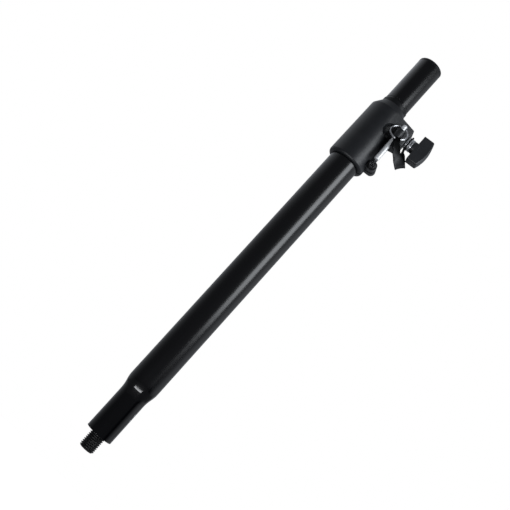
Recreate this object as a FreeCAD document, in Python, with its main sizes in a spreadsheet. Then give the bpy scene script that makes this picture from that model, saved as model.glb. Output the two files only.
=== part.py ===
import FreeCAD, Part
import Sketcher
import os
import re

# Telescopic speaker distance pole.
# Origin: centre of the flat end face of the tube that the threaded stud stands out of.
# +Z runs up the pole. The clamp block, the pinch ears and the knob stand out along +X.

V = FreeCAD.Vector
SHEET = "Sizes"
CROSS_HOLES = 6

DRIVING_SIZES = {
    # gaps between pieces
    "fit_gap": 0.02,
    "run_gap": 0.07,
    "hole_gap": 0.3,
    # threaded stud and the plug that holds it
    "stud_radius": 10,
    "stud_reach": 22,
    "stud_seat": 28,
    "stud_core": 9,
    "stud_chamfer": 1.6,
    "plug_depth": 47,
    "plug_pin_radius": 2.5,
    "plug_pin_low": 34,
    "plug_pin_high": 42,
    # outer tube
    "spigot_radius": 17.5,
    "spigot_end": 61,
    "cone_end": 72,
    "cone_round": 40,
    "main_radius": 20.5,
    "main_wall": 2,
    "main_top": 498,
    "stop_low": 482,
    # inner tube, its cap and its guide
    "inner_radius": 17.5,
    "inner_wall": 1.8,
    "inner_low": 95,
    "inner_high": 625.5,
    "cap_skirt": 14,
    "cap_flange": 4,
    "cap_wall": 2,
    "cap_round": 1.2,
    "mark_low": 551.6,
    "mark_high": 553,
    "mark_depth": 0.3,
    "cross_hole_radius": 3.4,
    "cross_hole_first": 160,
    "cross_hole_step": 55,
    "guide_low": 84,
    "guide_high": 118,
    "guide_wall": 3,
    "ring_groove_low": 87,
    "ring_groove_high": 92,
    "ring_groove_depth": 2.4,
    "rivet_height": 106,
    "rivet_radius": 2,
    "rivet_length": 4.4,
    # moulded collar and the bush in its top
    "collar_low": 445.6,
    "wall_top": 532.9,
    "bush_floor": 539,
    "collar_high": 544,
    "lip_top": 549.6,
    "collar_low_radius": 26.1,
    "collar_top_radius": 25.6,
    "neck_radius": 18.9,
    "neck_bore": 18.5,
    "rim_round": 3.7,
    "shoulder_round": 2.6,
    # clamp block, the flange under it and the pinch ears
    "block_top": 534.3,
    "block_root": 11.1,
    "block_root_half": 23,
    "web_root": 14,
    "web_root_half": 19.9,
    "block_reach": 42.3,
    "block_half": 8,
    "block_low": 501,
    "block_round": 1.8,
    "flange_reach": 29,
    "flange_low": 463.5,
    "flange_half": 9.3,
    "ear_across": 30.9,
    "ear_height": 462,
    "ear_radius": 6.5,
    "ear_half": 9.4,
    "slit_half": 1.5,
    "slit_top": 492,
    # finger recess beside the pin holder
    "recess_radius": 15,
    "recess_across": 25,
    "recess_front": 28,
    "recess_height": 509.5,
    # safety pin and its holder
    "pin_across": 30.8,
    "pin_front": 18.2,
    "pin_radius": 3.3,
    "pin_low": 468.2,
    "pin_high": 527.5,
    "pin_eye_height": 524.1,
    "pin_eye_radius": 1.6,
    "pin_chamfer": 0.7,
    "holder_radius": 6.2,
    "holder_low": 503.3,
    "holder_high": 518.8,
    "skirt_low": 491.8,
    "skirt_front": 22.2,
    "skirt_toe": 33.8,
    "skirt_heel": 29.5,
    # split ring through the pin's eye
    "ring_radius": 11.5,
    "ring_wire": 0.8,
    "ring_hang": 69,
    # pinch screw through the ears
    "pinch_radius": 2.5,
    "pinch_head_radius": 5.3,
    "pinch_head_depth": 3.2,
    "pinch_nut_flats": 8,
    "pinch_nut_depth": 4,
    "pinch_washer_radius": 6.2,
    "pinch_washer_depth": 1,
    "cross_slot_half": 0.6,
    "cross_slot_reach": 3,
    "cross_slot_depth": 2,
    # clamp screw, its nut, its pad and the knob
    "clamp_height": 519,
    "clamp_radius": 4,
    "clamp_tip": 24.1,
    "clamp_tail": 66,
    "clamp_nut_start": 28.5,
    "clamp_nut_depth": 6.5,
    "clamp_nut_flats": 13,
    "pad_radius": 7,
    "pad_back": 24,
    "pad_travel": 2.5,
    "hub_radius": 8.2,
    "hub_start": 52,
    "grip_start": 56.8,
    "grip_half": 19.6,
    "grip_corner": 71.4,
    "grip_apex": 75.2,
    "grip_thickness": 15,
    "grip_round": 2.2,
    "insert_radius": 6,
    "knob_washer_start": 49.9,
    "knob_washer_depth": 1.9,
    "washer_radius": 8.5,
    "washer_depth": 1.5,
    # tether strap, held on the clamp screw between two washers
    "strap_width": 13,
    "strap_thickness": 1.8,
    "strap_plane": 46.3,
    "strap_gap": 0.2,
    "strap_tab_width": 8,
}


def make_sheet(doc):
    sheet = doc.addObject("Spreadsheet::Sheet", SHEET)
    for row, (alias, value) in enumerate(DRIVING_SIZES.items(), start=1):
        sheet.set("A%d" % row, alias)
        sheet.set("B%d" % row, str(value))
        sheet.setAlias("B%d" % row, alias)
    doc.recompute()


def bound(formula):
    """Turns a formula of plain size names into an expression on the sheet."""
    def point_at_sheet(match):
        word = match.group(0)
        return SHEET + "." + word if word in DRIVING_SIZES else word
    return re.sub(r"[A-Za-z_]\w*", point_at_sheet, formula)


def value_of(formula):
    sheet = FreeCAD.ActiveDocument.getObject(SHEET)
    return float(sheet.evalExpression(bound(formula)))


# ---- sketches -------------------------------------------------------------------------------

def origin_plane(body, role):
    return [feature for feature in body.Origin.OriginFeatures if feature.Role == role][0]


def add_sketch(body, name, plane, offset=None):
    """A sketch on one of the body's own origin planes, moved along its normal by offset."""
    sketch = body.newObject("Sketcher::SketchObject", name)
    sketch.AttachmentSupport = [(origin_plane(body, plane), "")]
    sketch.MapMode = "FlatFace"
    if offset:
        sketch.setExpression("AttachmentOffset.Base.z", bound(offset))
    return sketch


def hold_point(sketch, geometry, end, across, up):
    """Ties one end of a sketch line, or a circle's centre, to the sheet."""
    for kind, axis, formula in (("DistanceX", -2, across), ("DistanceY", -1, up)):
        amount = value_of(formula)
        if abs(amount) < 1e-9:
            sketch.addConstraint(Sketcher.Constraint("PointOnObject", geometry, end, axis))
            continue
        index = sketch.addConstraint(Sketcher.Constraint(kind, -1, 1, geometry, end, amount))
        sketch.setExpression("Constraints[%d]" % index, bound(formula))


def draw_outline(sketch, corners):
    """A closed outline of straight lines through the corners, each a pair of formulas."""
    first = sketch.GeometryCount
    places = [V(value_of(across), value_of(up), 0) for across, up in corners]
    count = len(corners)
    for i in range(count):
        sketch.addGeometry(Part.LineSegment(places[i], places[(i + 1) % count]), False)
    for i in range(count):
        following = first + (i + 1) % count
        sketch.addConstraint(Sketcher.Constraint("Coincident", first + i, 2, following, 1))
    for i, (across, up) in enumerate(corners):
        hold_point(sketch, first + i, 1, across, up)


def draw_circle(sketch, across, up, radius):
    centre = V(value_of(across), value_of(up), 0)
    circle = sketch.addGeometry(Part.Circle(centre, V(0, 0, 1), value_of(radius)), False)
    size = sketch.addConstraint(Sketcher.Constraint("Radius", circle, value_of(radius)))
    sketch.setExpression("Constraints[%d]" % size, bound(radius))
    hold_point(sketch, circle, 3, across, up)


def draw_box(sketch, left, low, right, high):
    draw_outline(sketch, [(left, low), (right, low), (right, high), (left, high)])


# ---- features -------------------------------------------------------------------------------

def add_body(doc, label, across="0", front="0", height="0"):
    body = doc.addObject("PartDesign::Body", label)
    body.Label = label
    for axis, formula in (("x", across), ("y", front), ("z", height)):
        body.setExpression("Placement.Base." + axis, bound(formula))
    return body


def turn_profile(body, name, plane, axis, corners, cut=False):
    """Revolves (or cuts by revolving) an outline all the way round a sketch axis."""
    sketch = add_sketch(body, name + "Profile", plane)
    draw_outline(sketch, corners)
    feature = body.newObject("PartDesign::Groove" if cut else "PartDesign::Revolution", name)
    feature.Profile = sketch
    feature.ReferenceAxis = (sketch, [axis])
    feature.Angle = 360
    return feature


def add_pad(body, name, sketch, length, symmetric=False):
    pad = body.newObject("PartDesign::Pad", name)
    pad.Profile = sketch
    pad.setExpression("Length", bound(length))
    if symmetric:
        pad.SideType = "Symmetric"
    return pad


def cut_pocket(body, name, sketch, length=None, symmetric=False, reverse=False):
    """Cuts a pocket, and makes sure that it removed material."""
    body.Document.recompute()
    before = body.Shape.Volume
    pocket = body.newObject("PartDesign::Pocket", name)
    pocket.Profile = sketch
    pocket.Reversed = reverse
    if symmetric:
        pocket.SideType = "Symmetric"
    if length is None:
        pocket.Type = "ThroughAll"
    else:
        pocket.setExpression("Length", bound(length))
    body.Document.recompute()
    if body.Shape.Volume > before - 0.5:
        raise RuntimeError("pocket %s of %s cuts nothing" % (name, body.Label))
    return pocket


def round_edges(body, name, feature, wanted, radius):
    """Fillets the feature's edges whose middle point passes the test."""
    body.Document.recompute()
    names = []
    for i, edge in enumerate(feature.Shape.Edges, start=1):
        middle = edge.valueAt((edge.FirstParameter + edge.LastParameter) / 2)
        if wanted(edge, middle):
            names.append("Edge%d" % i)
    fillet = body.newObject("PartDesign::Fillet", name)
    fillet.Base = (feature, names)
    fillet.setExpression("Radius", bound(radius))
    body.Document.recompute()
    return fillet


def is_rim(edge, middle, height):
    return isinstance(edge.Curve, Part.Circle) and abs(middle.z - height) < 0.01


def add_turned(doc, label, pieces, axis, across="0", height="0"):
    """A node of plain rings or rods: each piece is outer radius, bore radius, low, high."""
    turn = {"x": FreeCAD.Rotation(V(0, 1, 0), 90), "y": FreeCAD.Rotation(V(1, 0, 0), -90),
            "z": FreeCAD.Rotation()}[axis]
    solids = []
    for i, (outer, bore, low, high) in enumerate(pieces, start=1):
        rod = add_cylinder(doc, "%s_rod%d" % (label, i), outer, low, high, turn, across, height)
        if bore is None:
            solids.append(rod)
            continue
        core = add_cylinder(doc, "%s_core%d" % (label, i), bore, low, high, turn, across, height)
        ring = doc.addObject("Part::Cut", "%s_ring%d" % (label, i))
        ring.Base = rod
        ring.Tool = core
        solids.append(ring)
    if len(solids) == 1:
        solids[0].Label = label
        return solids[0]
    group = doc.addObject("Part::Compound", label)
    group.Label = label
    group.Links = solids
    return group


def add_cylinder(doc, name, radius, low, high, turn, across, height):
    """A cylinder from low to high along its turned axis."""
    cylinder = doc.addObject("Part::Cylinder", name)
    cylinder.Placement = FreeCAD.Placement(V(0, 0, 0), turn)
    cylinder.setExpression("Radius", bound(radius))
    cylinder.setExpression("Height", bound("(%s) - (%s)" % (high, low)))
    along = turn.multVec(V(0, 0, 1))
    start = {"x": across, "y": "0", "z": height}
    for name_of_axis, share in (("x", along.x), ("y", along.y), ("z", along.z)):
        if share > 0.5:
            start[name_of_axis] = "(%s) + (%s)" % (start[name_of_axis], low)
        cylinder.setExpression("Placement.Base." + name_of_axis, bound(start[name_of_axis]))
    return cylinder


def add_hex_nut(doc, label, axis, flats, bore, low, high, across="0", height="0"):
    """A hexagon nut along X or Y, two of its flats facing up and down, with a plain bore."""
    turn = {"x": FreeCAD.Rotation(V(0, 1, 0), 90), "y": FreeCAD.Rotation(V(1, 0, 0), -90)}[axis]
    flats_up = {"x": 30, "y": 0}[axis]
    block = doc.addObject("Part::Prism", label + "_block")
    block.Polygon = 6
    block.Placement = FreeCAD.Placement(
        V(0, 0, 0), turn.multiply(FreeCAD.Rotation(V(0, 0, 1), flats_up)))
    block.setExpression("Circumradius", bound("(%s) / sqrt(3)" % flats))
    block.setExpression("Height", bound("(%s) - (%s)" % (high, low)))
    start = {"x": across, "y": "0", "z": height}
    start[axis] = "(%s) + (%s)" % (start[axis], low)
    for name, formula in start.items():
        block.setExpression("Placement.Base." + name, bound(formula))
    hole = add_cylinder(doc, label + "_hole", bore, low, high, turn, across, height)
    nut = doc.addObject("Part::Cut", label)
    nut.Label = label
    nut.Base = block
    nut.Tool = hole


# ---- tube, stud and plug --------------------------------------------------------------------

def make_outer_tube(doc):
    """Tube with a reduced lower end, a swaged cone and the full-size main run."""
    body = add_body(doc, "outer_tube")
    swaged = turn_profile(body, "Swaged", "XZ_Plane", "V_Axis", [
        ("spigot_radius - main_wall", "0"),
        ("spigot_radius", "0"),
        ("spigot_radius", "spigot_end"),
        ("main_radius", "cone_end"),
        ("main_radius", "main_top"),
        ("main_radius - main_wall", "main_top"),
        ("main_radius - main_wall", "cone_end + 1"),
        ("spigot_radius - main_wall", "spigot_end + 1"),
    ])
    ends = value_of("spigot_end"), value_of("cone_end")
    round_edges(body, "ConeRounds", swaged, lambda edge, p: is_rim(edge, p, ends[0])
                or is_rim(edge, p, ends[1]), "cone_round")
    drill_plug_pins(body)


def drill_plug_pins(body):
    holes = add_sketch(body, "PlugPinHoles", "YZ_Plane")
    for height in ("plug_pin_low", "plug_pin_high"):
        draw_circle(holes, "0", height, "plug_pin_radius + fit_gap")
    cut_pocket(body, "PlugPinBores", holes, symmetric=True)


def make_base_plug(doc):
    """Solid plug inside the reduced end, bored for the stud and cross-drilled for two pins."""
    body = add_body(doc, "base_plug")
    turn_profile(body, "Plug", "XZ_Plane", "V_Axis", [
        ("stud_core + fit_gap", "0"),
        ("spigot_radius - main_wall - fit_gap", "0"),
        ("spigot_radius - main_wall - fit_gap", "plug_depth"),
        ("0", "plug_depth"),
        ("0", "stud_seat + fit_gap"),
        ("stud_core + fit_gap", "stud_seat + fit_gap"),
    ])
    drill_plug_pins(body)


def make_threaded_stud(doc):
    """Stud at its thread's major diameter below the seat, on a thinner core in the plug."""
    body = add_body(doc, "threaded_stud")
    turn_profile(body, "Stud", "XZ_Plane", "V_Axis", [
        ("0", "0 - stud_reach"),
        ("stud_radius - stud_chamfer", "0 - stud_reach"),
        ("stud_radius", "stud_chamfer - stud_reach"),
        ("stud_radius", "0 - fit_gap"),
        ("stud_core", "0 - fit_gap"),
        ("stud_core", "stud_seat"),
        ("0", "stud_seat"),
    ])


def make_plug_pins(doc):
    """Two spring pins that cross the tube and the plug above the stud."""
    half = "(spigot_radius - 0.3)"
    low = add_turned(doc, "plug_pin_lower", [("plug_pin_radius", None, "0 - " + half, half)],
                     "x", "0", "plug_pin_low")
    high = add_turned(doc, "plug_pin_upper", [("plug_pin_radius", None, "0 - " + half, half)],
                      "x", "0", "plug_pin_high")
    pins = doc.addObject("Part::Compound", "plug_pins")
    pins.Label = "plug_pins"
    pins.Links = [low, high]


def make_stop_ring(doc):
    """Thin sleeve in the top of the outer tube that the guide's wear ring runs up against."""
    add_turned(doc, "stop_ring", [("main_radius - main_wall - fit_gap", "inner_radius + run_gap",
                                   "stop_low", "main_top")], "z")


# ---- inner tube and its ends ----------------------------------------------------------------

def make_inner_tube(doc):
    """Pole tube with safety holes, and a rolled mark that shows just above the bush."""
    body = add_body(doc, "inner_tube")
    turn_profile(body, "Tube", "XZ_Plane", "V_Axis", [
        ("inner_radius - inner_wall", "inner_low"),
        ("inner_radius", "inner_low"),
        ("inner_radius", "mark_low"),
        ("inner_radius - mark_depth", "mark_low"),
        ("inner_radius - mark_depth", "mark_high"),
        ("inner_radius", "mark_high"),
        ("inner_radius", "inner_high - cap_flange"),
        ("inner_radius - inner_wall", "inner_high - cap_flange"),
    ])
    holes = add_sketch(body, "SafetyHoles", "XZ_Plane")
    for i in range(CROSS_HOLES):
        height = "cross_hole_first + %d * cross_hole_step" % i
        draw_circle(holes, "0", height, "cross_hole_radius")
    draw_circle(holes, "0", "rivet_height", "rivet_radius + fit_gap")
    cut_pocket(body, "SafetyBores", holes, symmetric=True)


def make_inner_cap(doc):
    """Moulded cap that closes the top of the inner tube."""
    body = add_body(doc, "inner_cap")
    skirt = "inner_radius - inner_wall - fit_gap"
    cap = turn_profile(body, "Cap", "XZ_Plane", "V_Axis", [
        ("0", "inner_high - cap_flange"),
        ("0", "inner_high"),
        ("inner_radius", "inner_high"),
        ("inner_radius", "inner_high - cap_flange"),
        (skirt, "inner_high - cap_flange"),
        (skirt, "inner_high - cap_skirt"),
        (skirt + " - cap_wall", "inner_high - cap_skirt"),
        (skirt + " - cap_wall", "inner_high - cap_flange"),
    ])
    top = value_of("inner_high")
    round_edges(body, "RoundedRim", cap, lambda edge, p: is_rim(edge, p, top), "cap_round")


def make_inner_guide(doc):
    """Moulded plug on the inner tube's lower end, with a groove for the wear ring."""
    body = add_body(doc, "inner_guide")
    bore = "inner_radius - inner_wall - guide_wall"
    spigot = "inner_radius - inner_wall - fit_gap"
    turn_profile(body, "Guide", "XZ_Plane", "V_Axis", [
        (bore, "guide_low"),
        ("inner_radius", "guide_low"),
        ("inner_radius", "ring_groove_low"),
        ("inner_radius - ring_groove_depth", "ring_groove_low"),
        ("inner_radius - ring_groove_depth", "ring_groove_high"),
        ("inner_radius", "ring_groove_high"),
        ("inner_radius", "inner_low - fit_gap"),
        (spigot, "inner_low - fit_gap"),
        (spigot, "guide_high"),
        (bore, "guide_high"),
    ])
    holes = add_sketch(body, "RivetHoles", "XZ_Plane")
    draw_circle(holes, "0", "rivet_height", "rivet_radius + fit_gap")
    cut_pocket(body, "RivetBores", holes, symmetric=True)


def make_guide_rivets(doc):
    """Two short rivets, front and back, that hold the guide in the tube."""
    outside = "(inner_radius - 0.3)"
    inside = "(inner_radius - 0.3 - rivet_length)"
    add_turned(doc, "guide_rivets", [
        ("rivet_radius", None, "0 - " + outside, "0 - " + inside),
        ("rivet_radius", None, inside, outside),
    ], "y", "0", "rivet_height")


def make_wear_ring(doc):
    """Plastic ring in the guide's groove that runs on the outer tube's bore."""
    add_turned(doc, "wear_ring", [(
        "main_radius - main_wall - run_gap", "inner_radius - ring_groove_depth + run_gap",
        "ring_groove_low + run_gap", "ring_groove_high - run_gap")], "z")


# ---- moulded collar -------------------------------------------------------------------------

def make_collar_body(doc):
    body = add_body(doc, "collar_body")
    shell = turn_profile(body, "Shell", "XZ_Plane", "V_Axis", [
        ("0", "collar_low"),
        ("collar_low_radius", "collar_low"),
        ("collar_top_radius", "wall_top"),
        ("neck_radius", "collar_high"),
        ("0", "collar_high"),
    ])
    low, top = value_of("collar_low"), value_of("wall_top")
    foot = round_edges(body, "RoundFoot", shell, lambda edge, p: is_rim(edge, p, low), "rim_round")
    round_edges(body, "RoundShoulder", foot, lambda edge, p: is_rim(edge, p, top),
                "shoulder_round")
    add_clamp_block(body)
    add_finger_recess(body)
    add_flange(body)
    add_ears(body)
    add_pin_holder(body)
    bore_collar(body)
    cut_pinch_slit(body)
    cut_clamp_bores(body)


def add_finger_recess(body):
    """Scoop in wall and block beside the pin holder, where a finger gets behind the ring."""
    scoop = body.newObject("PartDesign::SubtractiveSphere", "FingerRecess")
    scoop.AttachmentSupport = [(origin_plane(body, "XY_Plane"), "")]
    scoop.MapMode = "FlatFace"
    scoop.setExpression("Radius", bound("recess_radius"))
    scoop.setExpression("AttachmentOffset.Base.x", bound("recess_across"))
    scoop.setExpression("AttachmentOffset.Base.y", bound("0 - recess_front"))
    scoop.setExpression("AttachmentOffset.Base.z", bound("recess_height"))


def add_clamp_block(body):
    """Block whose sides leave the collar as tangents and close in to the knob's face."""
    plan = add_sketch(body, "BlockPlan", "XY_Plane", "block_low")
    draw_outline(plan, [
        ("block_root", "0 - block_root_half"),
        ("block_reach", "0 - block_half"),
        ("block_reach", "block_half"),
        ("block_root", "block_root_half"),
    ])
    block = add_pad(body, "ClampBlock", plan, "block_top - block_low")
    nose, low = value_of("block_reach"), value_of("block_low")
    round_edges(body, "BlockNose", block,
                lambda edge, p: p.x > nose - 0.01 and p.z > low + 1, "block_round")


def add_flange(body):
    """Flange behind the parked pin, from the ears up to the block."""
    plan = add_sketch(body, "FlangePlan", "XY_Plane", "flange_low")
    draw_box(plan, "web_root", "0 - flange_half", "flange_reach", "flange_half")
    add_pad(body, "Flange", plan, "block_low - flange_low + 1")


def add_ears(body):
    """Pinch ears at the collar's foot: a boss along Y, blended into the wall by a web."""
    plan = add_sketch(body, "EarWebPlan", "XY_Plane", "ear_height - ear_radius")
    spot_face = "ear_across - ear_radius - 0.4"
    draw_outline(plan, [
        ("web_root", "0 - web_root_half"),
        (spot_face, "0 - ear_half"),
        ("ear_across", "0 - ear_half"),
        ("ear_across", "ear_half"),
        (spot_face, "ear_half"),
        ("web_root", "web_root_half"),
    ])
    add_pad(body, "EarWeb", plan, "2 * ear_radius")
    circle = add_sketch(body, "EarBossCircle", "XZ_Plane")
    draw_circle(circle, "ear_across", "ear_height", "ear_radius")
    add_pad(body, "EarBoss", circle, "2 * ear_half", symmetric=True)


def add_pin_holder(body):
    """Upright sleeve on the block's front for the safety pin, with a skirt below it."""
    circle = add_sketch(body, "HolderCircle", "XY_Plane", "holder_low")
    draw_circle(circle, "pin_across", "0 - pin_front", "holder_radius")
    add_pad(body, "Holder", circle, "holder_high - holder_low")
    outline = add_sketch(body, "SkirtOutline", "XZ_Plane", "block_half")
    draw_outline(outline, [
        ("skirt_heel", "holder_low + 2"),
        ("skirt_toe", "skirt_low"),
        ("block_reach", "skirt_low"),
        ("block_reach", "holder_low + 2"),
    ])
    add_pad(body, "Skirt", outline, "skirt_front - block_half")
    corner = add_sketch(body, "SkirtCornerPlan", "XY_Plane", "skirt_low - 1")
    draw_outline(corner, [
        ("pin_across + 5", "0 - skirt_front - 1"),
        ("block_reach + 1", "0 - skirt_front - 1"),
        ("block_reach + 1", "0 - block_half - 1"),
    ])
    cut_pocket(body, "SkirtCorner", corner, "holder_low - skirt_low + 4", reverse=True)
    hole = add_sketch(body, "PinHole", "XY_Plane", "skirt_low - 6")
    draw_circle(hole, "pin_across", "0 - pin_front", "pin_radius + hole_gap")
    cut_pocket(body, "PinBore", hole, "block_top - skirt_low + 8", reverse=True)


def bore_collar(body):
    """Bore for the outer tube and the bush, with a step that stops the bush."""
    turn_profile(body, "Bore", "XZ_Plane", "V_Axis", [
        ("0", "collar_low - 1"),
        ("main_radius + fit_gap", "collar_low - 1"),
        ("main_radius + fit_gap", "bush_floor"),
        ("neck_bore", "bush_floor"),
        ("neck_bore", "collar_high + 1"),
        ("0", "collar_high + 1"),
    ], cut=True)


def cut_pinch_slit(body):
    """Slit that lets the ears close on the tube, and the pinch screw's hole."""
    slit = add_sketch(body, "SlitOutline", "XZ_Plane")
    draw_box(slit, "web_root", "collar_low - 1", "block_reach + 1", "slit_top")
    cut_pocket(body, "Slit", slit, "2 * slit_half", symmetric=True)
    hole = add_sketch(body, "PinchHole", "XZ_Plane")
    draw_circle(hole, "ear_across", "ear_height", "pinch_radius + fit_gap")
    cut_pocket(body, "PinchBore", hole, symmetric=True)


def cut_clamp_bores(body):
    """Bores for the clamp screw and the brake pad, and the slot that holds the nut."""
    screw = add_sketch(body, "ClampHole", "YZ_Plane", "web_root")
    draw_circle(screw, "0", "clamp_height", "clamp_radius + hole_gap")
    cut_pocket(body, "ClampBore", screw, "block_reach", reverse=True)
    pad = add_sketch(body, "PadHole", "YZ_Plane", "web_root")
    draw_circle(pad, "0", "clamp_height", "pad_radius + fit_gap")
    cut_pocket(body, "PadBore", pad, "pad_back + pad_travel + hole_gap - web_root", reverse=True)
    slot = add_sketch(body, "NutSlotOutline", "XZ_Plane", "clamp_nut_flats / sqrt(3) + 0.1")
    draw_box(slot, "clamp_nut_start - 0.1", "clamp_height - clamp_nut_flats / 2 - 0.1",
             "clamp_nut_start + clamp_nut_depth + 0.1", "clamp_height + clamp_nut_flats / 2 + 0.1")
    cut_pocket(body, "NutSlot", slot, "clamp_nut_flats / sqrt(3) + block_root_half")


def make_top_bush(doc):
    """Guide bush between collar and inner tube; its lip shows above the collar."""
    body = add_body(doc, "top_bush")
    turn_profile(body, "Bush", "XZ_Plane", "V_Axis", [
        ("inner_radius + run_gap", "main_top + 0.2"),
        ("main_radius", "main_top + 0.2"),
        ("main_radius", "bush_floor - fit_gap"),
        ("neck_bore - fit_gap", "bush_floor - fit_gap"),
        ("neck_bore - fit_gap", "lip_top"),
        ("inner_radius + run_gap", "lip_top"),
    ])
    window = add_sketch(body, "PadWindow", "YZ_Plane")
    draw_circle(window, "0", "clamp_height", "pad_radius + hole_gap")
    cut_pocket(body, "PadOpening", window, "main_radius + 1", reverse=True)


# ---- pinch screw set ------------------------------------------------------------------------

def make_collar_screw(doc):
    """Pan-head screw through the ears, head to the front, with a cross recess."""
    body = add_body(doc, "collar_screw", "ear_across", "0", "ear_height")
    seat = "0 - ear_half - pinch_washer_depth"
    end = "ear_half + pinch_washer_depth + pinch_nut_depth + 1.5"
    turn_profile(body, "Screw", "XY_Plane", "V_Axis", [
        ("0", seat + " - pinch_head_depth"),
        ("pinch_head_radius - 1.2", seat + " - pinch_head_depth"),
        ("pinch_head_radius", seat + " - pinch_head_depth / 2"),
        ("pinch_head_radius", seat),
        ("pinch_radius", seat),
        ("pinch_radius", end),
        ("0", end),
    ])
    face = "ear_half + pinch_washer_depth + pinch_head_depth"
    for name, across, up in (("Wide", "cross_slot_reach", "cross_slot_half"),
                             ("Tall", "cross_slot_half", "cross_slot_reach")):
        slot = add_sketch(body, name + "Slot", "XZ_Plane", face)
        draw_box(slot, "0 - " + across, "0 - " + up, across, up)
        cut_pocket(body, name + "Recess", slot, "cross_slot_depth")


def make_collar_washers(doc):
    """Plain washers under the pinch screw's head and nut."""
    bore = "pinch_radius + fit_gap"
    inner, outer = "(ear_half + fit_gap)", "(ear_half + pinch_washer_depth - fit_gap)"
    add_turned(doc, "collar_washers", [
        ("pinch_washer_radius", bore, "0 - " + outer, "0 - " + inner),
        ("pinch_washer_radius", bore, inner, outer),
    ], "y", "ear_across", "ear_height")


def make_collar_nut(doc):
    low = "ear_half + pinch_washer_depth"
    add_hex_nut(doc, "collar_nut", "y", "pinch_nut_flats", "pinch_radius + fit_gap",
                low, low + " + pinch_nut_depth", "ear_across", "ear_height")


# ---- clamp ----------------------------------------------------------------------------------

def make_clamp_nut(doc):
    add_hex_nut(doc, "clamp_nut", "x", "clamp_nut_flats", "clamp_radius + run_gap",
                "clamp_nut_start", "clamp_nut_start + clamp_nut_depth", "0", "clamp_height")


def make_brake_pad(doc):
    """Round pad whose front is hollowed to the inner tube's radius."""
    plug = add_cylinder(doc, "pad_plug", "pad_radius - run_gap", "web_root", "pad_back",
                        FreeCAD.Rotation(V(0, 1, 0), 90), "0", "clamp_height")
    reach = "(pad_radius + 1)"
    tube = add_cylinder(doc, "pad_tube", "inner_radius + fit_gap", "0 - " + reach, reach,
                        FreeCAD.Rotation(), "0", "clamp_height")
    pad = doc.addObject("Part::Cut", "brake_pad")
    pad.Label = "brake_pad"
    pad.Base = plug
    pad.Tool = tube


def make_clamp_screw(doc):
    """Plain-shank clamp screw with a chamfered tip, along X through the nut into the knob."""
    body = add_body(doc, "clamp_screw", "0", "0", "clamp_height")
    turn_profile(body, "Screw", "XZ_Plane", "H_Axis", [
        ("clamp_tip", "0"),
        ("clamp_tip", "clamp_radius - 0.8"),
        ("clamp_tip + 0.8", "clamp_radius"),
        ("clamp_tail", "clamp_radius"),
        ("clamp_tail", "0"),
    ])


def make_knob_insert(doc):
    """Metal sleeve moulded into the knob, fixed on the clamp screw."""
    add_turned(doc, "knob_insert", [("insert_radius", "clamp_radius + fit_gap",
                                     "hub_start + 1.5", "clamp_tail")], "x", "0", "clamp_height")


def make_t_knob(doc):
    """Half-moon grip across the screw's axis, with a round hub towards the collar."""
    body = add_body(doc, "t_knob", "0", "0", "clamp_height")
    grip = add_pad(body, "Grip", draw_grip_outline(body), "grip_thickness", symmetric=True)
    start = value_of("grip_start")
    round_edges(body, "GripRounds", grip, lambda edge, p: p.x > start + 0.01, "grip_round")
    turn_profile(body, "Hub", "XZ_Plane", "H_Axis", [
        ("hub_start", "0"),
        ("hub_start", "hub_radius - 1"),
        ("hub_start + 1", "hub_radius"),
        ("grip_start + 4", "hub_radius"),
        ("grip_start + 4", "0"),
    ])
    turn_profile(body, "InsertSeat", "XZ_Plane", "H_Axis", [
        ("hub_start - 1", "0"),
        ("hub_start - 1", "clamp_radius + fit_gap"),
        ("hub_start + 1.5 - fit_gap", "clamp_radius + fit_gap"),
        ("hub_start + 1.5 - fit_gap", "insert_radius + fit_gap"),
        ("clamp_tail + fit_gap", "insert_radius + fit_gap"),
        ("clamp_tail + fit_gap", "0"),
    ], cut=True)


def draw_grip_outline(body):
    """Flat back and ends, and an outer edge that is one arc from corner to corner."""
    sketch = add_sketch(body, "GripOutline", "XZ_Plane")
    start, corner = value_of("grip_start"), value_of("grip_corner")
    half, apex = value_of("grip_half"), value_of("grip_apex")
    arc = Part.Arc(V(corner, -half, 0), V(apex, 0, 0), V(corner, half, 0))
    sketch.addGeometry(Part.LineSegment(V(start, half, 0), V(start, -half, 0)), False)
    sketch.addGeometry(Part.LineSegment(V(start, -half, 0), V(corner, -half, 0)), False)
    sketch.addGeometry(arc, False)
    sketch.addGeometry(Part.LineSegment(V(corner, half, 0), V(start, half, 0)), False)
    for constraint in (Sketcher.Constraint("Coincident", 0, 2, 1, 1),
                       Sketcher.Constraint("Coincident", 1, 2, 2, 1),
                       Sketcher.Constraint("Coincident", 2, 2, 3, 1),
                       Sketcher.Constraint("Coincident", 3, 2, 0, 1)):
        sketch.addConstraint(constraint)
    hold_point(sketch, 0, 1, "grip_start", "grip_half")
    hold_point(sketch, 1, 1, "grip_start", "0 - grip_half")
    hold_point(sketch, 2, 1, "grip_corner", "0 - grip_half")
    hold_point(sketch, 3, 1, "grip_corner", "grip_half")
    bulge = "(grip_apex - grip_corner)"
    radius = "(grip_half * grip_half + %s * %s) / (2 * %s)" % (bulge, bulge, bulge)
    size = sketch.addConstraint(Sketcher.Constraint("Radius", 2, value_of(radius)))
    sketch.setExpression("Constraints[%d]" % size, bound(radius))
    return sketch


def make_knob_washer(doc):
    """Thick washer that turns with the knob, against its hub."""
    add_turned(doc, "knob_washer", [(
        "washer_radius", "clamp_radius + fit_gap",
        "knob_washer_start", "knob_washer_start + knob_washer_depth")], "x", "0", "clamp_height")


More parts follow.
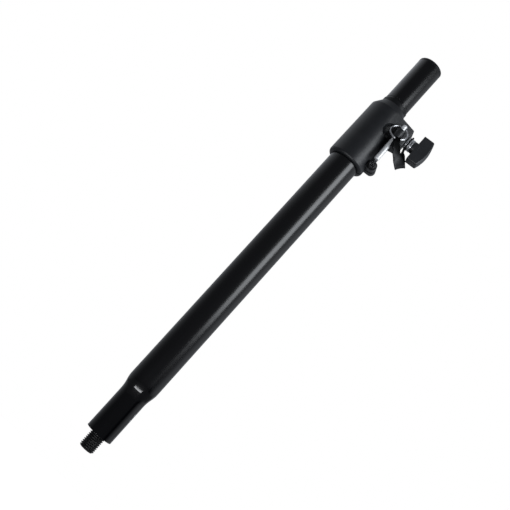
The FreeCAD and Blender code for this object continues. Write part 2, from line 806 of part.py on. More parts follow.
def make_strap_washers(doc):
    """Two washers on the clamp screw, one each side of the strap's end."""
    near = "(strap_plane - strap_thickness / 2 - strap_gap)"
    far = "(strap_plane + strap_thickness / 2 + strap_gap)"
    add_turned(doc, "strap_washers", [
        ("washer_radius", "clamp_radius + hole_gap", near + " - washer_depth", near),
        ("washer_radius", "clamp_radius + hole_gap", far, far + " + washer_depth"),
    ], "x", "0", "clamp_height")


# ---- safety pin and tether ------------------------------------------------------------------

def make_safety_pin(doc):
    """Straight pin with chamfered ends and a cross hole for the split ring."""
    body = add_body(doc, "safety_pin", "pin_across", "0 - pin_front", "0")
    turn_profile(body, "Pin", "XZ_Plane", "V_Axis", [
        ("0", "pin_low"),
        ("pin_radius - pin_chamfer", "pin_low"),
        ("pin_radius", "pin_low + pin_chamfer"),
        ("pin_radius", "pin_high - pin_chamfer"),
        ("pin_radius - pin_chamfer", "pin_high"),
        ("0", "pin_high"),
    ])
    eye = add_sketch(body, "EyeCircle", "YZ_Plane")
    draw_circle(eye, "0", "pin_eye_height", "pin_eye_radius")
    cut_pocket(body, "Eye", eye, symmetric=True)


def make_split_ring(doc):
    """Ring that hangs from the pin's eye and leans forward over the holder."""
    ring = doc.addObject("Part::Torus", "split_ring")
    ring.Label = "split_ring"
    ring.setExpression("Radius1", bound("ring_radius"))
    ring.setExpression("Radius2", bound("ring_wire"))
    ring.Placement = FreeCAD.Placement(V(0, 0, 0), FreeCAD.Rotation(V(1, 0, 0), value_of("ring_hang")))
    ring.setExpression("Placement.Base.x", bound("pin_across"))
    ring.setExpression("Placement.Base.y", bound("0 - pin_front - ring_radius * cos(ring_hang)"))
    ring.setExpression("Placement.Base.z", bound("pin_eye_height - ring_radius * sin(ring_hang)"))


def strap_stations():
    """Centre, width direction, run direction and width of the strap, from screw to ring."""
    plane, height = value_of("strap_plane"), value_of("clamp_height")
    full, tab = value_of("strap_width"), value_of("strap_tab_width")
    return [
        (V(plane, 0, height + 11), V(0, 1, 0), V(0, 0, -1), full),
        (V(plane, 0, height - 8.6), V(0, 1, 0), V(0, 0, -1), full),
        (V(plane + 0.9, -0.2, height - 11.5), V(0.1, 0.98, 0.1), V(0.3, 0, -0.95), full),
        (V(plane + 3.3, -0.6, height - 15.2), V(0.3, 0.9, 0.25), V(0.42, -0.1, -0.9), full),
        (V(plane + 5.8, -1.2, height - 21.2), V(0.5, 0.7, 0.45), V(0.4, -0.1, -0.9), full),
        (V(plane + 8.6, -2, height - 27.5), V(0.6, 0.45, 0.62), V(0.42, -0.15, -0.88), full),
        (V(plane + 11.4, -3.4, height - 33), V(0.64, 0.15, 0.74), V(0.4, -0.4, -0.8), full),
        (V(plane + 12.7, -6, height - 35.8), V(0.63, 0, 0.775), V(0, -1, 0), full),
        (V(plane + 11.4, -8.6, height - 35.8), V(0.64, -0.1, 0.75), V(-0.65, -0.6, 0.45), full),
        (V(plane + 8.2, -10.2, height - 33.6), V(0.66, 0.05, 0.74), V(-0.75, -0.4, 0.5), full),
        (V(plane + 4.2, -12.4, height - 31.3), V(0.62, 0.3, 0.7), V(-0.75, -0.5, 0.45), full),
        (V(plane - 0.2, -16.6, height - 29), V(0.55, 0.6, 0.4), V(-0.7, -0.6, 0.45), full),
        (V(plane - 4, -23.6, height - 25.4), V(0.75, 0.15, 0.6), V(-0.6, -0.35, 0.7), tab),
        (V(plane - 9.2, -26.6, height - 20.2), V(0.9, 0, 0.45), V(-0.45, 0, 0.9), tab),
    ]


def strap_section(centre, across, along, width):
    """Rectangle of the strap's width and thickness, square to its run."""
    across = across - along * (across.dot(along) / along.dot(along))
    across.normalize()
    through = along.cross(across)
    through.normalize()
    half_width = across * (width / 2)
    half_depth = through * (value_of("strap_thickness") / 2)
    corners = [centre - half_width - half_depth, centre + half_width - half_depth,
               centre + half_width + half_depth, centre - half_width + half_depth]
    return Part.makePolygon(corners + corners[:1])


def make_tether_strap(doc):
    """Flat strap: one end on the clamp screw, a hanging fold, the other end at the ring."""
    sections = [strap_section(*station) for station in strap_stations()]
    band = Part.makeLoft(sections, True, True)
    eye = Part.makeCylinder(value_of("clamp_radius + hole_gap"), 10,
                            V(value_of("strap_plane") - 5, 0, value_of("clamp_height")), V(1, 0, 0))
    strap = doc.addObject("Part::Feature", "tether_strap")
    strap.Label = "tether_strap"
    strap.Shape = band.cut(eye)
    strap.Placement = FreeCAD.Placement(V(0, 0, 0), FreeCAD.Rotation())


# ---- whole pole -----------------------------------------------------------------------------

MAKERS = [
    make_outer_tube, make_base_plug, make_threaded_stud, make_plug_pins, make_stop_ring,
    make_inner_tube, make_inner_cap, make_inner_guide, make_guide_rivets, make_wear_ring,
    make_collar_body, make_top_bush, make_collar_screw, make_collar_washers, make_collar_nut,
    make_clamp_nut, make_brake_pad, make_clamp_screw, make_knob_insert, make_t_knob,
    make_knob_washer, make_strap_washers, make_safety_pin, make_split_ring, make_tether_strap,
]


def check_and_export(doc):
    for item in doc.Objects:
        if "Invalid" in item.State or "Error" in item.State:
            raise RuntimeError("%s failed: %s" % (item.Name, item.State))
    os.makedirs("parts", exist_ok=True)
    labels = [maker.__name__[len("make_"):] for maker in MAKERS]
    nodes = [doc.getObjectsByLabel(label)[0] for label in labels]
    for node in nodes:
        if node.Shape.isNull() or not node.Shape.isValid():
            raise RuntimeError("%s has no valid shape" % node.Label)
    for node in nodes:
        node.Shape.exportStep(os.path.join("parts", node.Label + ".step"))


def main():
    doc = FreeCAD.newDocument("SpeakerPole")
    make_sheet(doc)
    for maker in MAKERS:
        maker(doc)
    doc.recompute()
    check_and_export(doc)


main()
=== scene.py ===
import math

import bmesh
import bpy
from mathutils import Matrix, Vector


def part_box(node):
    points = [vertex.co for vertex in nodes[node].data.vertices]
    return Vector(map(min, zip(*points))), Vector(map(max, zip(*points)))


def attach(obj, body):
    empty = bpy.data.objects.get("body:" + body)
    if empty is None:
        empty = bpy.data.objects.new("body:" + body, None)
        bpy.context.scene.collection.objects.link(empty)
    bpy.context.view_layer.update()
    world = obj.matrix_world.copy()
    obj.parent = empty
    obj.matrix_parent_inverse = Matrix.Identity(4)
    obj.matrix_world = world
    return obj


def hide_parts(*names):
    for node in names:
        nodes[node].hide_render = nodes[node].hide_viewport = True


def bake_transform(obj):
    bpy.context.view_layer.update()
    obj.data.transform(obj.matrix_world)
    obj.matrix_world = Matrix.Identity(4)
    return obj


# Telescopic speaker pole. Lengths in this script are in millimetres until a mesh or a place is
# made; MM turns them into the frame's metres.

MM = 0.001
CAMERA_AZIMUTH = 12

THREAD_PITCH = 2.5
THREAD_TIP_CHAMFER = 1.7
RING_WIRE = 0.8
COIL_OFFSET = 0.56
STRAP_HOLE_RADIUS = 4.3

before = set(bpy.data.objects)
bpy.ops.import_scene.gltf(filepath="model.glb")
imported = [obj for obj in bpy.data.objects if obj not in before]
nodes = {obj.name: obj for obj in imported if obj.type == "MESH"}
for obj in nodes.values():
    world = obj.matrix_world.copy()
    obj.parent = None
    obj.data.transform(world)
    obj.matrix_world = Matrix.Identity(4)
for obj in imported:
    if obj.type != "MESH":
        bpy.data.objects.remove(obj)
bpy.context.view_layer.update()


# ---- material nodes -------------------------------------------------------------------------

class Surface:
    """A node material under construction: a Principled shader and what feeds it."""

    def __init__(self, name):
        self.material = bpy.data.materials.new(name)
        self.material.use_nodes = True
        self.tree = self.material.node_tree
        self.shader = self.tree.nodes["Principled BSDF"]
        self.place = self.tree.nodes.new("ShaderNodeTexCoord").outputs["Object"]
        self.normal = None

    def node(self, kind, **settings):
        made = self.tree.nodes.new(kind)
        for key, value in settings.items():
            setattr(made, key, value)
        return made

    def link(self, source, target):
        self.tree.links.new(source, target)

    def stretched(self, scale):
        """The object's own coordinates, scaled differently along each axis."""
        mapping = self.node("ShaderNodeMapping")
        mapping.inputs["Scale"].default_value = scale
        self.link(self.place, mapping.inputs["Vector"])
        return mapping.outputs["Vector"]

    def noise(self, scale, detail=3.0, rough=0.55, stretch=None):
        """Noise from 0 to 1, with scale in features per metre."""
        made = self.node("ShaderNodeTexNoise")
        made.inputs["Scale"].default_value = scale
        made.inputs["Detail"].default_value = detail
        made.inputs["Roughness"].default_value = rough
        self.link(self.stretched(stretch) if stretch else self.place, made.inputs["Vector"])
        return made.outputs["Fac"]

    def spread(self, value, low, high, out_low, out_high):
        """Maps value from low..high to out_low..out_high, held at both ends."""
        made = self.node("ShaderNodeMapRange")
        made.inputs["From Min"].default_value = low
        made.inputs["From Max"].default_value = high
        made.inputs["To Min"].default_value = out_low
        made.inputs["To Max"].default_value = out_high
        self.link(value, made.inputs["Value"])
        return made.outputs["Result"]

    def mixed(self, share, first, second):
        """Colour between first and second; each is a colour or a socket."""
        made = self.node("ShaderNodeMix", data_type="RGBA")
        self.link(share, made.inputs["Factor"])
        for colour, socket in ((first, made.inputs["A"]), (second, made.inputs["B"])):
            if isinstance(colour, tuple):
                socket.default_value = colour + (1.0,)
            else:
                self.link(colour, socket)
        return made.outputs["Result"]

    def product(self, first, second):
        made = self.node("ShaderNodeMath", operation="MULTIPLY")
        self.link(first, made.inputs[0])
        self.link(second, made.inputs[1])
        return made.outputs["Value"]

    def soften_edges(self, radius):
        """Rounds sharp edges by radius millimetres in the shading."""
        made = self.node("ShaderNodeBevel", samples=6)
        made.inputs["Radius"].default_value = radius * MM
        self.normal = made.outputs["Normal"]

    def edge_share(self, radius):
        """1 on edges and 0 on flats, from how far the rounded normal leans."""
        rounded = self.node("ShaderNodeBevel", samples=6)
        rounded.inputs["Radius"].default_value = radius * MM
        plain = self.node("ShaderNodeNewGeometry")
        lean = self.node("ShaderNodeVectorMath", operation="DOT_PRODUCT")
        self.link(rounded.outputs["Normal"], lean.inputs[0])
        self.link(plain.outputs["Normal"], lean.inputs[1])
        return self.spread(lean.outputs["Value"], 0.99, 0.85, 0.0, 1.0)

    def openness(self, reach):
        """1 on open surfaces, falling to 0 in cavities narrower than reach millimetres; the
        materials paint shade with it.
        """
        made = self.node("ShaderNodeAmbientOcclusion", samples=8)
        made.inputs["Distance"].default_value = reach * MM
        return self.spread(made.outputs["AO"], 0.15, 0.85, 0.12, 1.0)

    def height(self):
        """How far up the pole a point is, in metres."""
        made = self.node("ShaderNodeSeparateXYZ")
        self.link(self.place, made.inputs["Vector"])
        return made.outputs["Z"]

    def bump(self, height, depth, strength=1.0):
        """Adds relief of depth millimetres from a height between 0 and 1."""
        made = self.node("ShaderNodeBump")
        made.inputs["Distance"].default_value = depth * MM
        made.inputs["Strength"].default_value = strength
        self.link(height, made.inputs["Height"])
        if self.normal:
            self.link(self.normal, made.inputs["Normal"])
        self.normal = made.outputs["Normal"]

    def finish(self, colour, roughness, metal=0.0, specular=0.5):
        """Feeds the shader; colour, roughness and specular may each be a socket."""
        for value, socket in ((colour, "Base Color"), (roughness, "Roughness"),
                              (specular, "Specular IOR Level")):
            target = self.shader.inputs[socket]
            if isinstance(value, tuple):
                target.default_value = value + (1.0,)
            elif isinstance(value, float):
                target.default_value = value
            else:
                self.link(value, target)
        self.shader.inputs["Metallic"].default_value = metal
        if self.normal:
            self.link(self.normal, self.shader.inputs["Normal"])
        return self.material


def powder_coat():
    """Black powder coat: satin on the main run, drawn glossy where the tube is swaged."""
    s = Surface("black_powder_coat")
    peel = s.noise(420.0, 2.0)
    cloud = s.noise(9.0, 4.0)
    rubs = s.noise(60.0, 6.0, 0.7, stretch=(1.0, 1.0, 0.06))
    s.soften_edges(0.35)
    s.bump(peel, 0.014, 0.12)
    dust = s.product(s.spread(cloud, 0.45, 0.75, 0.0, 1.0), s.spread(rubs, 0.5, 0.8, 0.0, 1.0))
    colour = s.mixed(dust, (0.001, 0.001, 0.0016), (0.0035, 0.0035, 0.0043))
    worn = s.product(s.edge_share(0.5), s.spread(rubs, 0.45, 0.6, 0.0, 0.6))
    colour = s.mixed(worn, colour, (0.03, 0.03, 0.034))
    swaged_to_main = s.spread(s.height(), 0.066, 0.082, 0.13, 0.25)
    rough = s.product(swaged_to_main, s.spread(rubs, 0.3, 0.8, 0.9, 1.12))
    return s.finish(colour, rough)


def moulded_nylon(name, base, light, roughness, sheen=0.5):
    """Glass-filled nylon: spark-eroded grain, slight mottling, paler rubbed edges and painted
    shade in its cavities.
    """
    s = Surface(name)
    grain = s.noise(1600.0, 2.0, 0.6)
    mottle = s.noise(70.0, 5.0, 0.6)
    s.soften_edges(0.5)
    s.bump(grain, 0.06, 0.5)
    s.bump(mottle, 0.12, 0.25)
    colour = s.mixed(s.spread(mottle, 0.35, 0.7, 0.0, 1.0), base, light)
    rubbed = s.product(s.edge_share(0.6), s.spread(mottle, 0.35, 0.6, 0.2, 0.8))
    colour = s.mixed(rubbed, colour, tuple(2.4 * part for part in light))
    # Painted shade: the colour falls to 0.15 of the base in cavities and recesses, and the
    # specular level drops there too.
    unshaded_share = s.openness(14.0)
    colour = s.mixed(unshaded_share, tuple(0.15 * part for part in base), colour)
    rough = s.spread(grain, 0.3, 0.7, roughness - 0.06, roughness + 0.06)
    return s.finish(colour, rough, specular=s.spread(unshaded_share, 0.0, 1.0, 0.02, sheen))


def turned_metal(name, bright, dull, roughness, run, metal=1.0):
    """Plated or turned metal: fine tool lines along run, and cloudy plating."""
    s = Surface(name)
    lines = s.noise(900.0, 3.0, 0.6, stretch=run)
    cloud = s.noise(160.0, 4.0)
    s.soften_edges(0.25)
    s.bump(lines, 0.02, 0.4)
    colour = s.mixed(s.spread(cloud, 0.4, 0.75, 0.0, 1.0), bright, dull)
    rough = s.spread(lines, 0.3, 0.7, roughness - 0.05, roughness + 0.1)
    return s.finish(colour, rough, metal=metal)


def oxide_steel(name, crest, reach):
    """Oiled black oxide, rubbed to bare steel along its crests and edges; a bright crest colour
    also paints highlights there.
    """
    s = Surface(name)
    grain = s.noise(900.0, 4.0, 0.65)
    s.bump(grain, 0.03, 0.4)
    rubbed = s.product(s.edge_share(reach), s.spread(grain, 0.4, 0.62, 0.2, 0.9))
    colour = s.mixed(rubbed, (0.0015, 0.0015, 0.002), crest)
    return s.finish(colour, s.spread(grain, 0.3, 0.7, 0.3, 0.45))


def strap_rubber():
    """Dark moulded strap: fine grain and dusty tone, with painted shade in its creases and over
    its upper part, so its hanging fold at the bottom stays paler.
    """
    s = Surface("strap_rubber")
    fine = s.noise(1200.0, 3.0, 0.6)
    broad = s.noise(120.0, 4.0, 0.6)
    s.bump(fine, 0.05, 0.5)
    dust = s.spread(broad, 0.35, 0.7, 0.0, 1.0)
    colour = s.mixed(dust, (0.0035, 0.0035, 0.0045), (0.011, 0.0115, 0.0135))
    # Painted shade: the strap darkens upwards from its hanging fold to 0.12 at the top, and in
    # its creases, and its specular level drops with it.
    painted_shade_by_height = s.spread(s.height(), 0.4935, 0.487, 0.12, 1.0)
    unshaded_share = s.product(s.openness(12.0), painted_shade_by_height)
    colour = s.mixed(unshaded_share, (0.0008, 0.0008, 0.001), colour)
    return s.finish(colour, s.spread(fine, 0.3, 0.7, 0.46, 0.6),
                    specular=s.spread(unshaded_share, 0.0, 1.0, 0.02, 0.4))


POWDER = powder_coat()
NYLON = moulded_nylon("moulded_nylon", (0.0085, 0.0095, 0.0115), (0.013, 0.014, 0.0165),
                      0.43)
KNOB_NYLON = moulded_nylon("knob_nylon", (0.014, 0.015, 0.0175), (0.021, 0.022, 0.025), 0.44)
BUSH = moulded_nylon("bush_acetal", (0.005, 0.0055, 0.0065), (0.008, 0.0085, 0.01),
                     0.42, 0.25)
OXIDE = oxide_steel("black_oxide_steel", (0.03, 0.03, 0.034), 0.35)
# The collar screw's crest colour is near bare steel, so its pale edges and cross are partly rub
# wear and partly a painted highlight.
SCREW_OXIDE = oxide_steel("oxide_steel_worn_and_highlit_edges", (0.62, 0.63, 0.65), 0.5)
ZINC = turned_metal("zinc_steel", (0.72, 0.73, 0.75), (0.5, 0.51, 0.54),
                    0.3, (1.0, 0.2, 0.2), 0.85)
BRIGHT = turned_metal("bright_steel", (0.9, 0.91, 0.92), (0.72, 0.73, 0.76),
                      0.42, (1.0, 1.0, 0.15), 0.4)
RING_STEEL = turned_metal("ring_steel", (0.82, 0.83, 0.85), (0.6, 0.61, 0.64),
                          0.28, (0.3, 0.3, 0.3))
ALUMINIUM = turned_metal("plug_aluminium", (0.62, 0.63, 0.65), (0.45, 0.46, 0.48),
                         0.3, (0.1, 0.1, 1.0))
BRASS = turned_metal("insert_brass", (0.75, 0.56, 0.27), (0.5, 0.36, 0.17),
                     0.28, (1.0, 0.2, 0.2))
PALE_ACETAL = moulded_nylon("pale_acetal", (0.45, 0.43, 0.39), (0.55, 0.53, 0.48), 0.42)
STRAP = strap_rubber()

FINISHES = {
    "outer_tube": POWDER,
    "inner_tube": POWDER,
    "base_plug": ALUMINIUM,
    "threaded_stud": OXIDE,
    "plug_pins": ZINC,
    "stop_ring": ZINC,
    "inner_cap": BUSH,
    "inner_guide": BUSH,
    "guide_rivets": ZINC,
    "wear_ring": PALE_ACETAL,
    "collar_body": NYLON,
    "top_bush": BUSH,
    "collar_screw": SCREW_OXIDE,
    "collar_washers": OXIDE,
    "collar_nut": OXIDE,
    "clamp_nut": ZINC,
    "brake_pad": PALE_ACETAL,
    "clamp_screw": ZINC,
    "knob_insert": BRASS,
    "t_knob": KNOB_NYLON,
    "knob_washer": ZINC,
    "strap_washers": ZINC,
    "safety_pin": BRIGHT,
    "split_ring": RING_STEEL,
    "tether_strap": STRAP,
}

for name, finish in FINISHES.items():
    nodes[name].data.materials.clear()
    nodes[name].data.materials.append(finish)


# ---- mesh helpers ---------------------------------------------------------------------------

def add_piece(name, points, faces, material):
    """A smooth-shaded mesh from points in millimetres."""
    mesh = bpy.data.meshes.new(name)
    mesh.from_pydata([Vector(point) * MM for point in points], [], faces)
    mesh.validate()
    for face in mesh.polygons:
        face.use_smooth = True
    mesh.materials.append(material)
    piece = bpy.data.objects.new(name, mesh)
    bpy.context.scene.collection.objects.link(piece)
    return piece


def tube_faces(rings, count):
    """Quads between rings of count points, with the first and last rings capped."""
    faces = []
    for i in range(rings - 1):
        for j in range(count):
            a = i * count + j
            b = i * count + (j + 1) % count
            faces.append((a, b, b + count, a + count))
    faces.append(tuple(reversed(range(count))))
    faces.append(tuple((rings - 1) * count + j for j in range(count)))
    return faces


# ---- threaded stud --------------------------------------------------------------------------

def thread_radius(height, turn, tip, major):
    """Radius of a right-hand 60 degree thread, with a chamfer at its tip."""
    # An eighth of the pitch is flat at the crest, and a quarter at the root.
    depth = 0.6134 * THREAD_PITCH
    phase = (height / THREAD_PITCH - turn) % 1.0
    from_crest = min(phase, 1.0 - phase)
    flank = min(max((from_crest - 0.0625) / 0.3125, 0.0), 1.0)
    radius = major - depth * flank
    return min(radius, major - THREAD_TIP_CHAMFER + (height - tip))


def build_stud():
    """The stud with its thread, from the CAD stud's tip up to the end of the tube."""
    low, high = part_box("threaded_stud")
    tip, major = low.z / MM, high.x / MM
    around, per_pitch = 96, 20
    rows = int(-tip / THREAD_PITCH * per_pitch) + 1
    points = []
    for i in range(rows):
        height = tip * (1.0 - i / (rows - 1))
        for j in range(around):
            angle = 2 * math.pi * j / around
            radius = thread_radius(height, j / around, tip, major)
            points.append((radius * math.cos(angle), radius * math.sin(angle), height))
    stud = add_piece("stud_thread", points, tube_faces(rows, around), OXIDE)
    for face in stud.data.polygons:
        face.use_smooth = len(face.vertices) == 4
    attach(stud, "root")
    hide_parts("threaded_stud")


# ---- split ring -----------------------------------------------------------------------------

def ring_frame():
    """Centre, radius, downward direction and forward normal of the ring, from its CAD box."""
    low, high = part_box("split_ring")
    half = (high - low) / 2 / MM
    radius = half.x - RING_WIRE
    down = Vector((0, RING_WIRE - half.y, RING_WIRE - half.z)).normalized()
    facing = down.cross(Vector((1, 0, 0)))
    return (low + high) / 2 / MM, radius, down, facing


def build_ring():
    """Two turns of flattened wire side by side, with the step from one turn to the other."""
    centre, radius, down, facing = ring_frame()
    around, steps, gap = 14, 220, 0.2
    points = []
    for i in range(steps):
        angle = gap + (4 * math.pi - 2 * gap) * i / (steps - 1)
        climb = min(max((angle - 2 * math.pi) / (2 * gap) + 0.5, 0.0), 1.0)
        shift = COIL_OFFSET * (2 * climb * climb * (3 - 2 * climb) - 1)
        heading = angle + math.radians(140)
        outward = Vector((math.sin(heading), 0, 0)) + down * math.cos(heading)
        tip = min(i, steps - 1 - i, 3) / 3
        size = 0.55 + 0.45 * math.sqrt(tip)
        for j in range(around):
            turn = 2 * math.pi * j / around
            points.append(centre + outward * (radius + RING_WIRE * size * math.cos(turn))
                          + facing * (shift + 0.54 * size * math.sin(turn)))
    ring = add_piece("split_ring_coils", points, tube_faces(steps, around), RING_STEEL)
    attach(ring, "pin")
    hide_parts("split_ring")


# ---- tether strap ---------------------------------------------------------------------------

def smooth_path(knots, step):
    """Points about step apart on a Catmull-Rom curve through the knots, each a row of numbers."""
    rows = []
    padded = [knots[0]] + knots + [knots[-1]]
    for a, b, c, d in zip(padded, padded[1:], padded[2:], padded[3:]):
        length = math.dist(b[:3], c[:3])
        count = max(2, int(length / step))
        for i in range(count):
            t = i / count
            rows.append([0.5 * (2 * q + (r - p) * t + (2 * p - 5 * q + 4 * r - s) * t * t
                                + (3 * q - p - 3 * r + s) * t * t * t)
                         for p, q, r, s in zip(a, b, c, d)])
    return rows + [list(knots[-1])]


def strap_knots():
    """Rows of centre, width direction, width and thickness, from the screw to the ring.

    The first rows stand relative to the clamp screw; the last ones run round the ring's wire.
    """
    low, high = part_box("strap_washers")
    plane, height = (low.x + high.x) / 2 / MM, (low.z + high.z) / 2 / MM
    centre, radius, down, facing = ring_frame()
    angle = math.radians(24)
    outward = Vector((math.sin(angle), 0, 0)) + down * math.cos(angle)
    along = Vector((math.cos(angle), 0, 0)) - down * math.sin(angle)
    held = centre + outward * radius
    rows = [
        (0, 0, 4.5, 0, 1, 0, 13, 1.8),
        (0, 0, -2, 0, 1, 0, 13, 1.8),
        (0, 0, -7.5, 0, 1, 0, 13, 1.8),
        (0.9, -0.2, -11.5, 0.1, 0.98, 0.1, 13, 1.8),
        (3.3, -0.6, -15.2, 0.3, 0.9, 0.25, 13, 1.8),
        (5.8, -1.2, -21.2, 0.5, 0.7, 0.45, 13, 1.8),
        (8.6, -2, -27.5, 0.6, 0.45, 0.62, 13, 1.8),
        (11.4, -3.4, -33, 0.64, 0.15, 0.74, 13, 1.8),
        (12.7, -6, -35.8, 0.63, 0, 0.775, 13, 1.8),
        (11.4, -8.6, -35.8, 0.64, -0.1, 0.75, 13, 1.8),
        (8.2, -10.2, -33.6, 0.66, 0.05, 0.74, 13, 1.8),
        (4.2, -12.4, -31.3, 0.62, 0.3, 0.7, 13, 1.8),
        (-0.2, -16.6, -29, 0.55, 0.6, 0.4, 11.5, 1.7),
        (-3.8, -22.8, -25.6, 0.75, 0.3, 0.6, 9, 1.5),
    ]
    knots = [(plane + row[0], row[1], height + row[2]) + row[3:] for row in rows]
    for out, front in ((6.2, 0.4), (3.2, 1.2), (1.0, 1.8), (-0.7, 1.7), (-1.8, 0.75),
                       (-1.8, -0.75), (-0.7, -1.7), (1.0, -1.8), (3.2, -1.0), (5.2, -0.7)):
        centre_line = held + outward * out + facing * front
        knots.append(tuple(centre_line) + tuple(along) + (7, 1.0))
    return knots


# The strap's section in half widths and half thicknesses, with a raised rim along each edge.
STRAP_SECTION = (
    (0, -0.72), (0.6, -0.72), (0.78, -0.78), (0.86, -1), (0.95, -0.9), (1, -0.4),
    (1, 0.4), (0.95, 0.9), (0.86, 1), (0.78, 0.78), (0.6, 0.72), (0, 0.72),
    (-0.6, 0.72), (-0.78, 0.78), (-0.86, 1), (-0.95, 0.9), (-1, 0.4), (-1, -0.4),
    (-0.95, -0.9), (-0.86, -1), (-0.78, -0.78), (-0.6, -0.72),
)


def round_upper_end(rows):
    """Adds ever narrower rows above the first one, so the strap ends in a half circle."""
    first = rows[0]
    steps = 8
    for i in range(1, steps + 1):
        turn = 0.5 * math.pi * i / steps
        width = first[6] * max(math.cos(turn), 0.06)
        up = first[6] / 2 * math.sin(turn)
        rows.insert(0, first[:2] + [first[2] + up] + first[3:6] + [width, first[7]])


def build_strap():
    """Moulded strap from the clamp screw round its hanging fold to a loop on the split ring."""
    rows = smooth_path(strap_knots(), 0.9)
    round_upper_end(rows)
    points = []
    for i, row in enumerate(rows):
        centre = Vector(row[:3])
        before = Vector(rows[max(i - 1, 0)][:3])
        after = Vector(rows[min(i + 1, len(rows) - 1)][:3])
        run = (after - before).normalized()
        across = Vector(row[3:6])
        across = (across - run * across.dot(run)).normalized()
        half_width = across * (row[6] / 2)
        half_depth = run.cross(across) * (row[7] / 2)
        points += [centre + (half_width * wide + half_depth * deep)
                   for wide, deep in STRAP_SECTION]
    faces = tube_faces(len(rows), len(STRAP_SECTION))
    strap = add_piece("strap", points, faces, STRAP)
    cut_screw_hole(strap)
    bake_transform(strap)
    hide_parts("tether_strap")


def cut_screw_hole(strap):
    """Cuts the clamp screw's hole through the strap's upper end."""
    low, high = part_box("strap_washers")
    middle = (low + high) / 2
    shape = bmesh.new()
    bmesh.ops.create_cone(shape, cap_ends=True, segments=40, radius1=STRAP_HOLE_RADIUS * MM,
                          radius2=STRAP_HOLE_RADIUS * MM, depth=8 * MM)
    mesh = bpy.data.meshes.new("screw_hole")
    shape.to_mesh(mesh)
    shape.free()
    tool = bpy.data.objects.new("screw_hole", mesh)
    tool.matrix_world = Matrix.Translation(middle) @ Matrix.Rotation(math.pi / 2, 4, "Y")
    bpy.context.scene.collection.objects.link(tool)
    cut = strap.modifiers.new("hole", "BOOLEAN")
    cut.operation = "DIFFERENCE"
    cut.object = tool
    graph = bpy.context.evaluated_depsgraph_get()
    result = bpy.data.meshes.new_from_object(strap.evaluated_get(graph))
    strap.modifiers.clear()
    strap.data = result
    bpy.data.objects.remove(tool)


build_stud()
build_ring()
build_strap()


# ---- camera, light and background -----------------------------------------------------------

def compass(azimuth):
    """Level direction from the pole's axis towards azimuth, in degrees; 0 is the front."""
    angle = math.radians(azimuth)
    return Vector((math.sin(angle), -math.cos(angle), 0))


def add_camera():
    """Camera low in front and a little to the right, with the pole leaning in its picture."""
    distance, height, sideways = 846, 114.7, 0.365
    yaw = math.radians(CAMERA_AZIMUTH + sideways)
    pitch, lean = math.radians(11), math.radians(42.21)
    camera = bpy.data.cameras.new("photo_camera")
    camera.lens, camera.sensor_width = 49.41, 36
    camera.clip_start, camera.clip_end = 0.05, 20
    level = Vector((-math.sin(yaw), math.cos(yaw), 0))
    forward = level * math.cos(pitch) + Vector((0, 0, math.sin(pitch)))
    right = forward.cross(Vector((0, 0, 1))).normalized()
    up = right.cross(forward)
    across = right * math.cos(lean) + up * math.sin(lean)
    upward = up * math.cos(lean) - right * math.sin(lean)
    turn = Matrix((across, upward, -forward)).transposed()
    holder = bpy.data.objects.new("photo_camera", camera)
    place = (compass(CAMERA_AZIMUTH) * distance + Vector((0, 0, height))) * MM
    holder.matrix_world = Matrix.Translation(place) @ turn.to_4x4()
    bpy.context.scene.collection.objects.link(holder)
    bpy.context.scene.camera = holder


def add_softbox(name, shape, azimuth, distance, height, aim_height, wide, tall, power, colour):
    """Area light that faces the pole's axis at aim_height."""
    light = bpy.data.lights.new(name, "AREA")
    light.shape = shape
    light.size, light.size_y = wide * MM, tall * MM
    light.energy = power
    light.color = colour
    holder = bpy.data.objects.new(name, light)
    place = compass(azimuth) * distance + Vector((0, 0, height))
    facing = (Vector((0, 0, aim_height)) - place).to_track_quat("-Z", "Y")
    holder.matrix_world = Matrix.Translation(place * MM) @ facing.to_matrix().to_4x4()
    holder.visible_camera = False
    bpy.context.scene.collection.objects.link(holder)


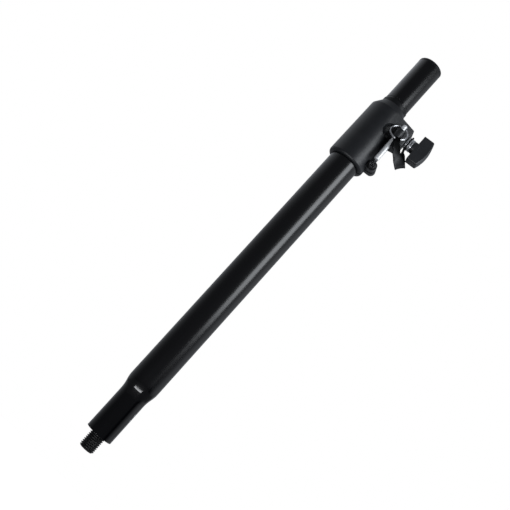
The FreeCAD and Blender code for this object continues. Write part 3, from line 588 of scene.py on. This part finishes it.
def add_world():
    """White for the camera; for everything else a room that is dark in front, pale behind."""
    world = bpy.data.worlds.new("studio")
    bpy.context.scene.world = world
    world.use_nodes = True
    tree = world.node_tree
    tree.nodes.clear()
    direction = tree.nodes.new("ShaderNodeTexCoord").outputs["Generated"]

    def glow(towards, low, high, start, end):
        """Goes from start to end as the direction turns towards a heading, low to high."""
        lean = tree.nodes.new("ShaderNodeVectorMath")
        lean.operation = "DOT_PRODUCT"
        lean.inputs[1].default_value = towards.normalized()
        tree.links.new(direction, lean.inputs[0])
        spread = tree.nodes.new("ShaderNodeMapRange")
        for name, value in (("From Min", low), ("From Max", high), ("To Min", start),
                            ("To Max", end)):
            spread.inputs[name].default_value = value
        tree.links.new(lean.outputs["Value"], spread.inputs["Value"])
        return spread.outputs["Result"]

    def joined(operation, first, second):
        made = tree.nodes.new("ShaderNodeMath")
        made.operation = operation
        tree.links.new(first, made.inputs[0])
        tree.links.new(second, made.inputs[1])
        return made.outputs["Value"]

    # A pale wall behind the pole with a brighter part high on the left, a panel on the right,
    # and a dim front with a dark flag in it.
    above = Vector((0, 0, 1))
    wall = glow(-compass(CAMERA_AZIMUTH), -0.3, 0.75, 0.0, 0.33)
    high_left = joined("MULTIPLY", glow(above, 0.28, 0.5, 0.0, 1.0),
                       glow(compass(CAMERA_AZIMUTH - 115), 0.45, 0.9, 0.0, 0.9))
    wall = joined("ADD", wall, high_left)
    panel = glow(compass(CAMERA_AZIMUTH + 94) + above * 0.2, 0.84, 0.99, 0.0, 0.45)
    front = glow(above, -0.14, 0.1, 0.075, 0.14)
    flag = glow(compass(CAMERA_AZIMUTH + 72) - above * 0.1, 0.88, 0.96, 1.0, 0.0)
    front = joined("MULTIPLY", front, flag)
    room = tree.nodes.new("ShaderNodeBackground")
    room.inputs["Color"].default_value = (0.9, 0.94, 1.0, 1)
    strength = joined("ADD", joined("ADD", wall, panel), front)
    tree.links.new(strength, room.inputs["Strength"])
    seen = tree.nodes.new("ShaderNodeBackground")
    seen.inputs["Color"].default_value = (1, 1, 1, 1)
    path = tree.nodes.new("ShaderNodeLightPath")
    choice = tree.nodes.new("ShaderNodeMixShader")
    out = tree.nodes.new("ShaderNodeOutputWorld")
    tree.links.new(path.outputs["Is Camera Ray"], choice.inputs["Fac"])
    tree.links.new(room.outputs["Background"], choice.inputs[1])
    tree.links.new(seen.outputs["Background"], choice.inputs[2])
    tree.links.new(choice.outputs["Shader"], out.inputs["Surface"])


def add_floor():
    """Pale floor well below the pole, as bright as the background to the camera."""
    mesh = bpy.data.meshes.new("floor")
    shape = bmesh.new()
    bmesh.ops.create_grid(shape, x_segments=8, y_segments=8, size=2.5)
    shape.to_mesh(mesh)
    shape.free()
    floor = bpy.data.objects.new("floor", mesh)
    floor.location = (0, 0, -0.6)
    bpy.context.scene.collection.objects.link(floor)
    surface = Surface("pale_floor")
    path = surface.node("ShaderNodeLightPath")
    surface.link(path.outputs["Is Camera Ray"], surface.shader.inputs["Emission Strength"])
    surface.shader.inputs["Emission Color"].default_value = (1, 1, 1, 1)
    mesh.materials.append(surface.finish((0.35, 0.35, 0.35), 0.9))


add_camera()
add_world()
add_floor()
add_softbox("key", "RECTANGLE", azimuth=63, distance=1000, height=645, aim_height=440,
            wide=560, tall=740, power=8.0, colour=(0.92, 0.96, 1.0))
add_softbox("bounce", "ELLIPSE", azimuth=5, distance=760, height=-437, aim_height=66,
            wide=1080, tall=125, power=4.2, colour=(0.95, 0.97, 1.0))
bpy.context.scene.view_settings.view_transform = "Standard"
